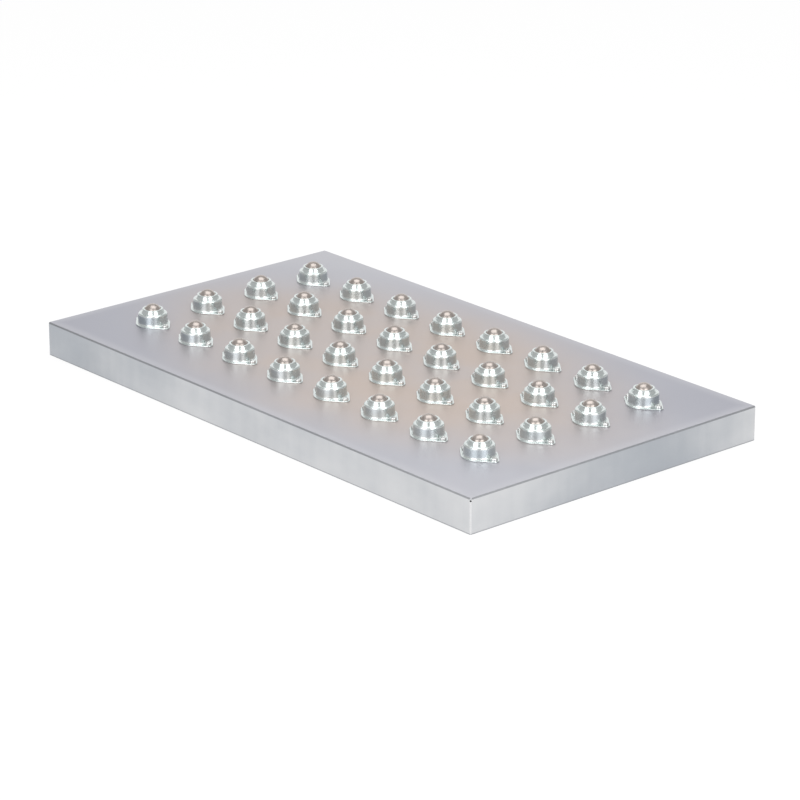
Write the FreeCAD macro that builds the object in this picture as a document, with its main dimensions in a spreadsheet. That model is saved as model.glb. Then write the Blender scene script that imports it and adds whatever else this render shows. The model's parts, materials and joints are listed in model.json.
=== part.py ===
import FreeCAD, Part
import math
import operator
import os
import types

import Sketcher

# A ball transfer platform: a folded sheet tray that carries a grid of ball transfer units.
# The frame has +X along the tray, +Y across it, +Z up, and its origin under the tray's middle.

# Units along the tray and the letters of its rows, from the front edge to the rear edge.
COLUMNS = 8
ROW_LETTERS = "abcd"
# Rings of small balls in each cup, counted out from the single ball at the bottom.
BEARING_RINGS = 4
# The two screws of a unit stand on either side of it along the tray.
SIDES = (-1, 1)
FULL_TURN = 360
# Two lengths closer than this are the same length.
SAME = 1e-6
# A sketch numbers the ends and the centre of a curve, and its own axes and origin, like this.
START_POINT = 1
END_POINT = 2
CENTRE_POINT = 3
X_AXIS_LINE = -1
Y_AXIS_LINE = -2
SKETCH_ORIGIN = (-1, 1)
# The way an arc of an outline turns.
LEFT = 1
RIGHT = -1

# The driving dimensions, in millimetres.
DRIVING_SIZES = {
    # the tray
    "pitch_along": 100.0,
    "pitch_across": 100.0,
    "end_margin": 105.0,
    "side_margin": 110.0,
    "deck_height": 50.0,
    "deck_sheet": 2.0,
    "bend_radius": 0.5,
    "relief_diameter": 2.5,
    "relief_drop": 4.2,
    # the load ball and the bed of bearing balls that carries it
    "ball_diameter": 25.4,
    "bearing_diameter": 3.175,
    "running_gap": 0.08,
    "bearing_spacing": 0.08,
    "ring_spacing": 0.2,
    # the hardened cup
    "cup_wall": 1.3,
    "cup_ledge": 2.1,
    "cup_rim_drop": 1.9,
    "cup_floor_gap": 0.1,
    "cup_fit": 0.1,
    # the pressed housing
    "housing_wall": 1.8,
    "wall_draft": 0.4,
    "foot_radius": 2.4,
    "shoulder_radius": 2.0,
    "collar_gap": 2.4,
    "collar_radius": 0.9,
    "collar_taper": 2.4,
    "rim_radius": 1.3,
    "rim_rise": 7.2,
    "lip_rise": 5.7,
    "lip_gap": 0.35,
    "lip_relief": 0.7,
    "flange_land": 1.0,
    "ear_land": 2.0,
    # the tapping screws that hold a housing on the deck
    "screw_diameter": 4.8,
    "core_diameter": 3.6,
    "pilot_diameter": 4.0,
    "hole_clearance": 0.7,
    "head_diameter": 9.5,
    "head_height": 3.7,
    "head_round": 1.6,
    "head_gap": 0.05,
    "recess_length": 5.2,
    "recess_width": 1.4,
    "recess_depth": 1.8,
    "screw_reach": 6.0,
    "screw_point": 1.3,
}

OPERATIONS = {"+": operator.add, "-": operator.sub, "*": operator.mul, "/": operator.truediv}


class Size:
    """A length that carries the sheet formula it comes from."""

    def __init__(self, value, formula):
        self.value = value
        self.formula = formula

    def __add__(self, other):
        return join(self, "+", other)

    def __radd__(self, other):
        return join(other, "+", self)

    def __sub__(self, other):
        return join(self, "-", other)

    def __rsub__(self, other):
        return join(other, "-", self)

    def __mul__(self, other):
        return join(self, "*", other)

    def __rmul__(self, other):
        return join(other, "*", self)

    def __truediv__(self, other):
        return join(self, "/", other)

    def __neg__(self):
        return join(0, "-", self)


def as_size(number):
    """A plain number as a size, so that both can stand in one formula."""
    if isinstance(number, Size):
        return number
    return Size(number, f"({number!r})")


def join(left, sign, right):
    """The size that two sizes and an arithmetic sign make."""
    first = as_size(left)
    second = as_size(right)
    value = OPERATIONS[sign](first.value, second.value)
    return Size(value, f"({first.formula} {sign} {second.formula})")


def root(size):
    """The square root of a size, as a size."""
    return Size(math.sqrt(size.value), f"sqrt({size.formula})")


def leg(long_side, other_leg):
    """The second leg of a right-angled triangle."""
    return root(long_side * long_side - other_leg * other_leg)


def fill_sheet(doc):
    """Write the driving dimensions to a sheet and give each one back as a size."""
    sheet = doc.addObject("Spreadsheet::Sheet", "Sizes")
    named = {}
    for number, (name, value) in enumerate(DRIVING_SIZES.items(), start=1):
        sheet.set(f"A{number}", name)
        sheet.set(f"B{number}", str(value))
        sheet.setAlias(f"B{number}", name)
        named[name] = Size(value, f"Sizes.{name}")
    return types.SimpleNamespace(**named)


doc = FreeCAD.newDocument("ball_transfer_platform")
size = fill_sheet(doc)
doc.recompute()

# The tray follows the grid of units and the margins round it.
deck_length = size.pitch_along * (COLUMNS - 1) + size.end_margin * 2
deck_width = size.pitch_across * (len(ROW_LETTERS) - 1) + size.side_margin * 2
first_column = -size.pitch_along * (COLUMNS - 1) / 2
first_row = -size.pitch_across * (len(ROW_LETTERS) - 1) / 2

# Heights in a unit are counted from the deck's top face.
ball_radius = size.ball_diameter / 2
bearing_radius = size.bearing_diameter / 2
bed_radius = ball_radius + size.running_gap + bearing_radius
cup_inner_radius = bed_radius + bearing_radius + size.running_gap
cup_outer_radius = cup_inner_radius + size.cup_wall
ball_centre = cup_outer_radius + size.cup_floor_gap
cup_rim = ball_centre - size.cup_rim_drop
cup_rim_radius = cup_outer_radius + size.cup_ledge

# The housing fits round the cup's rim, and its shoulder holds the rim down.
housing_inner_radius = cup_rim_radius + size.cup_fit
housing_radius = housing_inner_radius + size.housing_wall
foot_edge = housing_radius + size.foot_radius
shoulder_under = cup_rim + size.cup_fit
shoulder_top = shoulder_under + size.housing_wall
collar_inner_radius = ball_radius + size.collar_gap
collar_foot_radius = collar_inner_radius + size.housing_wall
collar_top_radius = collar_foot_radius - size.collar_taper
rim_top = ball_centre + size.rim_rise
lip_height = ball_centre + size.lip_rise
lip_radius = leg(ball_radius + size.lip_gap, size.lip_rise)

# The flange has an ear on each side, and the screws stand clear of the housing's foot.
head_radius = size.head_diameter / 2
hole_radius = (size.screw_diameter + size.hole_clearance) / 2
screw_offset = foot_edge + size.head_gap + head_radius
flange_radius = foot_edge + size.flange_land
ear_radius = head_radius + size.ear_land

# A screw cuts its own thread in a pilot hole in the deck, and its point stands out below the sheet.
screw_end = -size.deck_sheet - size.screw_reach


def bind(thing, **properties):
    """Bind properties of an object to the sheet through their sizes."""
    for name, value in properties.items():
        thing.setExpression(name, value.formula)


def put(thing, x, y, z):
    """Bind an object's place to three sizes."""
    for axis, value in zip("xyz", (x, y, z)):
        thing.setExpression(f".Placement.Base.{axis}", as_size(value).formula)


def origin_feature(body, role):
    """A plane or axis of a body's own origin."""
    return next(feature for feature in body.Origin.OriginFeatures if feature.Role == role)


def new_body(label):
    """An empty body, which may hold several solids."""
    body = doc.addObject("PartDesign::Body", label)
    body.Label = label
    body.AllowCompound = True
    return body


def new_sketch(body, name, plane, lift=None):
    """A sketch on a plane of the body's origin, lifted along the plane's normal."""
    sketch = body.newObject("Sketcher::SketchObject", name)
    sketch.AttachmentSupport = (origin_feature(body, plane), [""])
    sketch.MapMode = "FlatFace"
    if lift is not None:
        sketch.setExpression("AttachmentOffset.Base.z", lift.formula)
    return sketch


def hold_coordinate(sketch, kind, axis_line, curve, end, distance):
    """Tie one coordinate of a sketch point to a size."""
    if abs(distance.value) < SAME:
        sketch.addConstraint(Sketcher.Constraint("PointOnObject", curve, end, axis_line))
        return
    ends = [SKETCH_ORIGIN, (curve, end)]
    length = distance
    if distance.value < 0:
        ends.reverse()
        length = -distance
    index = sketch.addConstraint(Sketcher.Constraint(kind, *ends[0], *ends[1], length.value))
    sketch.setExpression(f"Constraints[{index}]", length.formula)


def hold_point(sketch, curve, end, x, y):
    """Tie a sketch point to its two coordinates."""
    hold_coordinate(sketch, "DistanceX", Y_AXIS_LINE, curve, end, as_size(x))
    hold_coordinate(sketch, "DistanceY", X_AXIS_LINE, curve, end, as_size(y))


def hold_radius(sketch, curve, radius):
    """Tie the radius of a circle or an arc to a size."""
    index = sketch.addConstraint(Sketcher.Constraint("Radius", curve, radius.value))
    sketch.setExpression(f"Constraints[{index}]", radius.formula)


def add_circle(sketch, x, y, radius):
    """Draw a circle that is tied to its centre and radius."""
    centre = FreeCAD.Vector(as_size(x).value, as_size(y).value, 0)
    circle = Part.Circle(centre, FreeCAD.Vector(0, 0, 1), radius.value)
    curve = sketch.addGeometry(circle, False)
    hold_radius(sketch, curve, radius)
    hold_point(sketch, curve, CENTRE_POINT, x, y)


def arc_between(start, end, radius, turn):
    """The short arc from start to end, turning to the left or to the right."""
    chord = end - start
    middle = (start + end) / 2
    left = FreeCAD.Vector(-chord.y, chord.x, 0).normalize()
    reach = math.sqrt(max(radius**2 - (chord.Length / 2) ** 2, 0))
    centre = middle + left * reach * turn
    circle = Part.Circle(centre, FreeCAD.Vector(0, 0, 1), radius)
    from_point, to_point = (start, end) if turn == LEFT else (end, start)
    first = math.atan2(from_point.y - centre.y, from_point.x - centre.x)
    last = math.atan2(to_point.y - centre.y, to_point.x - centre.x)
    return Part.ArcOfCircle(circle, first, last)


def add_outline(sketch, corners):
    """Draw a closed outline through (x, y) corners.

    A corner with a radius and a turn is reached by an arc, any other by a straight line."""
    places = [FreeCAD.Vector(as_size(x).value, as_size(y).value, 0) for x, y, *_ in corners]
    forward = (START_POINT, END_POINT)
    backward = (END_POINT, START_POINT)
    ends = []
    for number, (_, _, *bend) in enumerate(corners):
        start = places[number - 1]
        end = places[number]
        if not bend:
            curve = sketch.addGeometry(Part.LineSegment(start, end), False)
            ends.append((curve, *forward))
            continue
        radius, turn = bend
        curve = sketch.addGeometry(arc_between(start, end, radius.value, turn), False)
        hold_radius(sketch, curve, radius)
        ends.append((curve, *(forward if turn == LEFT else backward)))
    for number, (x, y, *_) in enumerate(corners):
        curve, _, end = ends[number]
        next_curve, next_start, _ = ends[(number + 1) % len(corners)]
        sketch.addConstraint(Sketcher.Constraint("Coincident", curve, end, next_curve, next_start))
        hold_point(sketch, curve, end, x, y)


def rectangle(length, width):
    """The corners of a rectangle round the origin."""
    half_length = length / 2
    half_width = width / 2
    return [
        (half_length, half_width),
        (-half_length, half_width),
        (-half_length, -half_width),
        (half_length, -half_width),
    ]


def add_feature(body, kind, name, sketch, reverse=False):
    """A sketch-based feature of a body."""
    feature = body.newObject(f"PartDesign::{kind}", name)
    feature.Profile = sketch
    feature.Reversed = reverse
    return feature


def revolve(body, name, sketch):
    """Turn a profile once round the sketch's upright axis."""
    feature = add_feature(body, "Revolution", name, sketch)
    feature.ReferenceAxis = (sketch, ["V_Axis"])
    feature.Angle = FULL_TURN
    return feature


def repeat_along(body, originals):
    """Repeat features of a body for every column of the grid."""
    pattern = body.newObject("PartDesign::LinearPattern", "columns")
    pattern.Originals = originals
    pattern.Direction = (origin_feature(body, "X_Axis"), [""])
    pattern.Occurrences = COLUMNS
    bind(pattern, Length=size.pitch_along * (COLUMNS - 1))
    body.Tip = pattern
    doc.recompute()
    return pattern


def dress_edges(body, base, kind, name, wanted, **properties):
    """Round or cut off the edges of a feature for which wanted is true."""
    doc.recompute()
    edges = [f"Edge{number}" for number, edge in enumerate(base.Shape.Edges, start=1) if wanted(edge)]
    dressing = body.newObject(f"PartDesign::{kind}", name)
    dressing.Base = (base, edges)
    bind(dressing, **properties)
    body.Tip = dressing
    doc.recompute()
    return dressing


def row_place(number):
    """The Y of a row of units."""
    return first_row + size.pitch_across * number


def stand_on_deck(body, number):
    """Place a row's body at its first unit, on the deck."""
    put(body, first_column, row_place(number), size.deck_height)


def make_tray():
    """The tray: a box with rounded bends, hollowed from below, with pilot holes and corner reliefs."""
    body = new_body("folded_sheet")
    outline = new_sketch(body, "tray_outline", "XY_Plane")
    add_outline(outline, rectangle(deck_length, deck_width))
    block = add_feature(body, "Pad", "tray_block", outline)
    bind(block, Length=size.deck_height)
    outer_bend = size.bend_radius + size.deck_sheet
    bends = dress_edges(
        body, block, "Fillet", "bends", lambda edge: edge.BoundBox.ZMax > SAME, Radius=outer_bend
    )
    shell = body.newObject("PartDesign::Thickness", "sheet")
    bottom = next(
        number for number, face in enumerate(bends.Shape.Faces, start=1) if face.BoundBox.ZMax < SAME
    )
    shell.Base = (bends, [f"Face{bottom}"])
    shell.Reversed = True
    bind(shell, Value=size.deck_sheet)
    holes = new_sketch(body, "first_column_holes", "XY_Plane", size.deck_height)
    for number in range(len(ROW_LETTERS)):
        for side in SIDES:
            hole_place = first_column + screw_offset * side
            add_circle(holes, hole_place, row_place(number), size.pilot_diameter / 2)
    cut = add_feature(body, "Pocket", "pilot_holes", holes)
    bind(cut, Length=size.deck_sheet * 2)
    repeat_along(body, [cut])
    reliefs = doc.addObject("Part::Compound", "corner_reliefs")
    reliefs.Links = [make_relief(along, across) for along in SIDES for across in SIDES]
    tray = doc.addObject("Part::Cut", "deck_tray")
    tray.Base = body
    tray.Tool = reliefs
    return tray


def make_relief(along, across):
    """The small round relief at one corner, where two bends meet the corner seam."""
    drill = doc.addObject("Part::Cylinder", "corner_relief")
    reach = size.deck_sheet * 2 + size.relief_diameter
    bind(drill, Radius=size.relief_diameter / 2, Height=reach * 2)
    outward = FreeCAD.Vector(along, across, 0)
    drill.Placement.Rotation = FreeCAD.Rotation(FreeCAD.Vector(0, 0, 1), outward)
    half_root = math.sqrt(0.5)
    put(
        drill,
        (deck_length / 2 - reach * half_root) * along,
        (deck_width / 2 - reach * half_root) * across,
        size.deck_height - size.relief_drop,
    )
    return drill


def flange_outline():
    """The flange: a round plate drawn out into an ear on each side by straight tangents."""
    cosine = (flange_radius - ear_radius) / screw_offset
    sine = leg(as_size(1), cosine)
    disc_x = flange_radius * cosine
    disc_y = flange_radius * sine
    ear_x = screw_offset + ear_radius * cosine
    ear_y = ear_radius * sine
    ear_tip = screw_offset + ear_radius
    return [
        (ear_x, -ear_y),
        (ear_tip, 0, ear_radius, LEFT),
        (ear_x, ear_y, ear_radius, LEFT),
        (disc_x, disc_y),
        (0, flange_radius, flange_radius, LEFT),
        (-disc_x, disc_y, flange_radius, LEFT),
        (-ear_x, ear_y),
        (-ear_tip, 0, ear_radius, LEFT),
        (-ear_x, -ear_y, ear_radius, LEFT),
        (-disc_x, -disc_y),
        (0, -flange_radius, flange_radius, LEFT),
        (disc_x, -disc_y, flange_radius, LEFT),
    ]


def housing_profile():
    """Half the housing's section: wall, shoulder, tapered collar and the lip over the ball."""
    wall_top_radius = housing_radius - size.wall_draft
    wall_top = shoulder_top - size.shoulder_radius
    rim_start = rim_top - size.rim_radius
    rim_inside = collar_top_radius - size.rim_radius
    return [
        (housing_inner_radius, 0),
        (foot_edge, 0),
        (foot_edge, size.housing_wall),
        (housing_radius, size.housing_wall + size.foot_radius, size.foot_radius, RIGHT),
        (wall_top_radius, wall_top),
        (wall_top_radius - size.shoulder_radius, shoulder_top, size.shoulder_radius, LEFT),
        (collar_foot_radius + size.collar_radius, shoulder_top),
        (collar_foot_radius, shoulder_top + size.collar_radius, size.collar_radius, RIGHT),
        (collar_top_radius, rim_start),
        (rim_inside, rim_top, size.rim_radius, LEFT),
        (lip_radius, lip_height),
        (collar_top_radius - size.housing_wall, lip_height - size.lip_relief),
        (collar_inner_radius, shoulder_under),
        (housing_inner_radius, shoulder_under),
    ]


def make_housings(letter, number):
    """A row of pressed housings, each with its flange."""
    body = new_body(f"housings_row_{letter}")
    plate = new_sketch(body, "flange_outline", "XY_Plane")
    add_outline(plate, flange_outline())
    add_circle(plate, 0, 0, housing_inner_radius)
    for side in SIDES:
        add_circle(plate, screw_offset * side, 0, hole_radius)
    flange = add_feature(body, "Pad", "flange", plate)
    bind(flange, Length=size.housing_wall)
    section = new_sketch(body, "housing_section", "XZ_Plane")
    add_outline(section, housing_profile())
    shell = revolve(body, "housing_shell", section)
    repeat_along(body, [flange, shell])
    stand_on_deck(body, number)
    return body


def make_cups(letter, number):
    """A row of hardened cups, each a bowl with a rim under the housing's shoulder."""
    body = new_body(f"bearing_cups_row_{letter}")
    section = new_sketch(body, "cup_section", "XZ_Plane")
    ledge_under = cup_rim - size.cup_wall
    bowl_outside = leg(cup_outer_radius, ball_centre - ledge_under)
    bowl_inside = leg(cup_inner_radius, size.cup_rim_drop)
    corners = [
        (0, ball_centre - cup_outer_radius),
        (bowl_outside, ledge_under, cup_outer_radius, LEFT),
        (cup_rim_radius, ledge_under),
        (cup_rim_radius, cup_rim),
        (bowl_inside, cup_rim),
        (0, ball_centre - cup_inner_radius, cup_inner_radius, RIGHT),
    ]
    add_outline(section, corners)
    repeat_along(body, [revolve(body, "cup", section)])
    stand_on_deck(body, number)
    return body


def cross_recess(x):
    """The outline of a cross recess round a point on the X axis."""
    arm = size.recess_length / 2
    half_width = size.recess_width / 2
    corners = []
    for along, across in ((1, 0), (0, 1), (-1, 0), (0, -1)):
        for side in SIDES:
            across_arm = half_width * side
            corners.append((x + arm * along - across_arm * across, arm * across + across_arm * along))
        inner_x = x + half_width * (along - across)
        corners.append((inner_x, half_width * (across + along)))
    return corners


def make_screws(letter, number):
    """A row of pan-head tapping screws with a cross recess, two to a unit."""
    body = new_body(f"flange_screws_row_{letter}")
    heads = new_sketch(body, "head_circles", "XY_Plane", size.housing_wall)
    shanks = new_sketch(body, "shank_circles", "XY_Plane", size.housing_wall)
    head_top = size.housing_wall + size.head_height
    recesses = new_sketch(body, "recess_crosses", "XY_Plane", head_top)
    for side in SIDES:
        add_circle(heads, screw_offset * side, 0, head_radius)
        add_circle(shanks, screw_offset * side, 0, size.core_diameter / 2)
        add_outline(recesses, cross_recess(screw_offset * side))
    head = add_feature(body, "Pad", "heads", heads)
    bind(head, Length=size.head_height)
    shank = add_feature(body, "Pad", "shanks", shanks, reverse=True)
    bind(shank, Length=size.housing_wall - screw_end)
    recess = add_feature(body, "Pocket", "recesses", recesses)
    bind(recess, Length=size.recess_depth)
    pattern = repeat_along(body, [head, shank, recess])

    def crowns(edge):
        """True for the top edge of a head."""
        at_top = edge.BoundBox.ZMin > head_top.value - SAME
        return at_top and isinstance(edge.Curve, Part.Circle)

    def tails(edge):
        """True for the lower edge of a shank."""
        return edge.BoundBox.ZMax < screw_end.value + SAME

    rounded = dress_edges(body, pattern, "Fillet", "pan_heads", crowns, Radius=size.head_round)
    dress_edges(body, rounded, "Chamfer", "points", tails, Size=size.screw_point)
    stand_on_deck(body, number)
    return body


def bearing_places():
    """Where the bearing balls of a unit lie: rings on a sphere under the load ball."""
    bed = bed_radius.value
    ring_pitch = size.bearing_diameter.value + size.ring_spacing.value
    ball_pitch = size.bearing_diameter.value + size.bearing_spacing.value
    step = 2 * math.asin(ring_pitch / 2 / bed)
    places = [FreeCAD.Vector(0, 0, -bed)]
    for ring in range(1, BEARING_RINGS):
        ring_radius = bed * math.sin(ring * step)
        depth = bed * math.cos(ring * step)
        count = int(math.pi / math.asin(ball_pitch / 2 / ring_radius))
        for number in range(count):
            angle = 2 * math.pi * number / count
            places.append(FreeCAD.Vector(ring_radius * math.cos(angle), ring_radius * math.sin(angle), -depth))
    return places


def make_bearing_balls(letter, number):
    """A row of beds of bearing balls, copied from one ball to every place in every unit."""
    row = doc.addObject("Part::Feature", f"bearing_balls_row_{letter}")
    ball = Part.makeSphere(bearing_radius.value)
    balls = []
    for column in range(COLUMNS):
        centre = FreeCAD.Vector(size.pitch_along.value * column, 0, ball_centre.value)
        balls += [ball.translated(centre + place) for place in bearing_places()]
    row.Shape = Part.makeCompound(balls)
    stand_on_deck(row, number)
    return row


def make_load_ball(letter, number, column):
    """One load ball on its bed."""
    ball = doc.addObject("Part::Sphere", f"load_ball_{letter}{column + 1}")
    bind(ball, Radius=ball_radius)
    put(
        ball,
        first_column + size.pitch_along * column,
        row_place(number),
        size.deck_height + ball_centre,
    )
    return ball


ROW_MAKERS = (make_housings, make_cups, make_bearing_balls, make_screws)


def make_platform():
    """Every sub-part of the platform."""
    pieces = [make_tray()]
    for number, letter in enumerate(ROW_LETTERS):
        pieces += [make(letter, number) for make in ROW_MAKERS]
        pieces += [make_load_ball(letter, number, column) for column in range(COLUMNS)]
    return pieces


def write(pieces):
    """Check every object, then write each sub-part to a file of its own name."""
    doc.recompute()
    for thing in doc.Objects:
        if "Invalid" in thing.State or "Error" in thing.State:
            raise RuntimeError(f"{thing.Label} did not build: {thing.State}")
    for piece in pieces:
        if piece.Shape.isNull() or not piece.Shape.isValid():
            raise RuntimeError(f"{piece.Label} has no valid shape")
    os.makedirs("parts", exist_ok=True)
    for piece in pieces:
        piece.Shape.exportStep(f"parts/{piece.Label}.step")


write(make_platform())
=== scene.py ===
import json
import math

import bpy
import numpy as np
from bpy.props import FloatProperty, FloatVectorProperty, IntProperty, PointerProperty
from mathutils import Matrix, Vector


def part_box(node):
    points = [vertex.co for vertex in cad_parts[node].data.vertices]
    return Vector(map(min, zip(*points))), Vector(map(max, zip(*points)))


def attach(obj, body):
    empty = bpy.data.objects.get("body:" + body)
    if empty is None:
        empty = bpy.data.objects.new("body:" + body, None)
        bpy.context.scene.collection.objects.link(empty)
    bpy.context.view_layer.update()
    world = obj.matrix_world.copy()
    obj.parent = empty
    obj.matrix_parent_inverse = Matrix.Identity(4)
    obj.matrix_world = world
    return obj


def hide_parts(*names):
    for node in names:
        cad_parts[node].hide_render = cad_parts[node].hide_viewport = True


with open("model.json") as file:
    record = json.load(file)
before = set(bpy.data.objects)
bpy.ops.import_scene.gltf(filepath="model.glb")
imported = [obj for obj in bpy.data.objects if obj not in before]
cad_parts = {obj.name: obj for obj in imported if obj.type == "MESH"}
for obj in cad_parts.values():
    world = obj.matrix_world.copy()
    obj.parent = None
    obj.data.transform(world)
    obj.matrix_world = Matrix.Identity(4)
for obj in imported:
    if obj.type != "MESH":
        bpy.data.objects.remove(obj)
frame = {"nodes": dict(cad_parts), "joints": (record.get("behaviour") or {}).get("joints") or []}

bl_info = {
    "name": "Ball Transfer Platform",
    "version": (1, 0, 0),
    "blender": (4, 5, 0),
    "location": "3D View > Sidebar > Platform",
    "description": "Dresses a ball transfer platform: folded tray, ball units, fasteners and studio",
    "category": "Object",
}

MM = 0.001
TURN = 2 * math.pi
PLATFORM = "platform"

# What the frame gives: its box, the tray, the rows of units and the middle of each load ball.
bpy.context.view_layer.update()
_, TRAY_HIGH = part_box("deck_tray")
HALF_LENGTH, HALF_WIDTH, DECK_TOP = (float(value) for value in TRAY_HIGH)
ROWS = sorted(name[-1] for name in frame["nodes"] if name.startswith("housings_row_"))
BALL_PLACES = {joint["child"]: np.array(joint["pos_m"]) for joint in frame["joints"]}
BALL_NAMES = sorted(BALL_PLACES)
FIRST_PLACE = BALL_PLACES[BALL_NAMES[0]]
BALL_LOW, BALL_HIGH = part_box("load_" + BALL_NAMES[0])
HOUSING_LOW, HOUSING_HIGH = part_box("housings_row_a")
SCREW_LOW, SCREW_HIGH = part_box("flange_screws_row_a")

# The pressed rim stands this much lower than the solid's.
RIM_DROP = 0.9 * MM


def length(name, description, default):
    """A size in metres, shown in the scene's own unit."""
    return FloatProperty(
        name=name, description=description, default=float(default), precision=5, unit="LENGTH")


def count(name, description, default):
    """A whole number of divisions or pieces."""
    return IntProperty(name=name, description=description, default=default, min=1)


def tint(name, description, default):
    """A linear colour."""
    return FloatVectorProperty(
        name=name, description=description, default=default, size=3, min=0, max=1, subtype="COLOR")


def share(name, description, default):
    """A number from none to all."""
    return FloatProperty(
        name=name, description=description, default=default, min=0, max=1, subtype="FACTOR")


def glow(name, description, default):
    """A brightness, where 1 is white."""
    return FloatProperty(name=name, description=description, default=default, min=0)


def degrees(name, description, default):
    """An angle, given in degrees."""
    return FloatProperty(
        name=name, description=description, default=math.radians(default), subtype="ANGLE")


def power(name, description, default):
    """A lamp's power in watts."""
    return FloatProperty(name=name, description=description, default=default, min=0, unit="POWER")


def lamp_size(name, description, default):
    """A lamp's width and height."""
    return FloatVectorProperty(name=name, description=description, default=default, size=2, unit="LENGTH")


class HousingSizes(bpy.types.PropertyGroup):
    """One pressed housing. Heights are above the deck."""

    columns: count("Columns", "Divisions round a housing", 128)
    flange_radius: length(
        "Flange radius", "Radius of the round middle of the flange", (HOUSING_HIGH[1] - HOUSING_LOW[1]) / 2)
    ear_reach: length(
        "Ear reach", "Tip of a flange ear from the unit's middle", FIRST_PLACE[0] - HOUSING_LOW[0])
    ear_radius: length("Ear radius", "Round end of a flange ear", 6.75 * MM)
    flange_thickness: length("Flange thickness", "Thickness of the flange plate", 1.8 * MM)
    flange_edge: length("Flange edge", "Rounding of the flange's rim", 0.6 * MM)
    foot_radius: length("Foot radius", "Hollow rounding between flange and wall", 2.4 * MM)
    wall_radius: length("Wall radius", "Outside of the wall at its foot", 21.335 * MM)
    wall_draft: length("Wall draft", "How much the wall leans in by its top", 0.4 * MM)
    wall_thickness: length("Wall thickness", "Thickness of the pressed wall", 1.8 * MM)
    inner_round: length("Inner rounding", "Rounding inside the shoulder", 0.8 * MM)
    shoulder_height: length("Shoulder height", "Top of the shoulder", 17.685 * MM)
    shoulder_radius: length("Shoulder radius", "Rounding from wall to shoulder", 2.3 * MM)
    collar_foot: length("Collar foot", "Outside of the collar where it leaves the shoulder", 16.6 * MM)
    collar_fillet: length("Collar fillet", "Hollow rounding at the collar's foot", 0.7 * MM)
    rim_radius: length("Rim radius", "Outside of the collar under its rounded rim", 14.85 * MM)
    rim_round: length("Rim rounding", "Rounding of the collar's rim", 1.0 * MM)
    rim_bead: length("Rim bead", "How far the rolled rim stands out over the collar", 0.2 * MM)
    rim_height: length("Rim height", "Top of the collar", HOUSING_HIGH[2] - DECK_TOP - RIM_DROP)
    lip_radius: length("Lip radius", "Opening that holds the load ball in", 11.7 * MM)
    lip_thickness: length("Lip thickness", "Depth of the lip at its opening", 0.9 * MM)
    lip_round: length("Lip rounding", "Rounding of the lip's two edges", 0.25 * MM)


class BallSizes(bpy.types.PropertyGroup):
    """The load balls and the small balls that they roll on."""

    radius: length("Load ball radius", "Radius of a load ball", (BALL_HIGH[2] - BALL_LOW[2]) / 2)
    columns: count("Load ball columns", "Divisions round a load ball", 64)
    rows: count("Load ball rows", "Rings of points on a load ball", 31)
    bearing_radius: length("Bearing ball radius", "Radius of a small bearing ball", 1.5875 * MM)
    bearing_columns: count("Bearing ball columns", "Divisions round a small ball", 10)
    bearing_rows: count("Bearing ball rows", "Rings of points on a small ball", 5)
    bearing_gap: length("Bearing gap", "Play between the load ball and the small balls", 0.08 * MM)
    bearing_spacing: length("Bearing spacing", "Least gap between the small balls of a ring", 0.08 * MM)
    ring_spacing: length("Ring spacing", "Gap between a ring of small balls and the next", 0.2 * MM)
    bearing_rings: count("Bearing rings", "Rings of small balls around the lowest one", 3)


class FastenerSizes(bpy.types.PropertyGroup):
    """The tapping screws. Heights are above the deck."""

    columns: count("Columns", "Divisions round a screw", 64)
    turn_seed: count("Turn seed", "Start of the draw that turns each screw its own way", 11)
    head_radius: length("Head radius", "Radius of a screw head", 4.75 * MM)
    head_top: length("Head top", "Top of a screw head", SCREW_HIGH[2] - DECK_TOP)
    head_height: length("Head height", "Height of a screw head", 3.7 * MM)
    head_round: length("Head rounding", "Rounding of a screw head's rim", 1.6 * MM)
    head_crown: length("Head crown", "Rise of a screw head's middle", 0.2 * MM)
    head_edge: length("Head edge", "Bevel under a screw head", 0.15 * MM)
    recess_length: length("Recess length", "Cross recess from arm tip to arm tip", 5.2 * MM)
    recess_width: length("Recess width", "Width of an arm of the cross recess", 1.4 * MM)
    recess_depth: length("Recess depth", "Depth of the cross recess", 1.8 * MM)
    recess_slope: length("Recess slope", "Width of the sloping walls of the recess", 0.2 * MM)
    core_radius: length("Core radius", "Radius of a screw at the bottom of its thread", 1.8 * MM)
    thread_rise: length("Thread rise", "Height of the thread over the core", 0.55 * MM)
    thread_pitch: length("Thread pitch", "Rise of the thread in one turn", 1.6 * MM)
    thread_top: length("Thread top", "Where the thread ends, under the sheet", -2.2 * MM)
    point_length: length("Point length", "Tapered end of a screw", 2.4 * MM)
    tail_end: length("Tail end", "Lower end of a screw", SCREW_LOW[2] - DECK_TOP)


class TraySizes(bpy.types.PropertyGroup):
    """The folded tray's corners."""

    bend_radius: length("Bend radius", "Outside radius of the tray's bends", 2.5 * MM)
    seam_width: length("Seam width", "Width of the ground weld line at a corner", 2.4 * MM)
    seam_rise: length("Seam rise", "Half of the weld line's thickness", 0.08 * MM)
    seam_sink: length("Seam sink", "How deep the weld line's middle lies in the corner", 0.02 * MM)
    seam_top: length("Seam top", "Upper end of a weld line, under the relief hole", 44.2 * MM)
    seam_foot: length("Seam foot", "Lower end of a weld line", 0.4 * MM)


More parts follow.
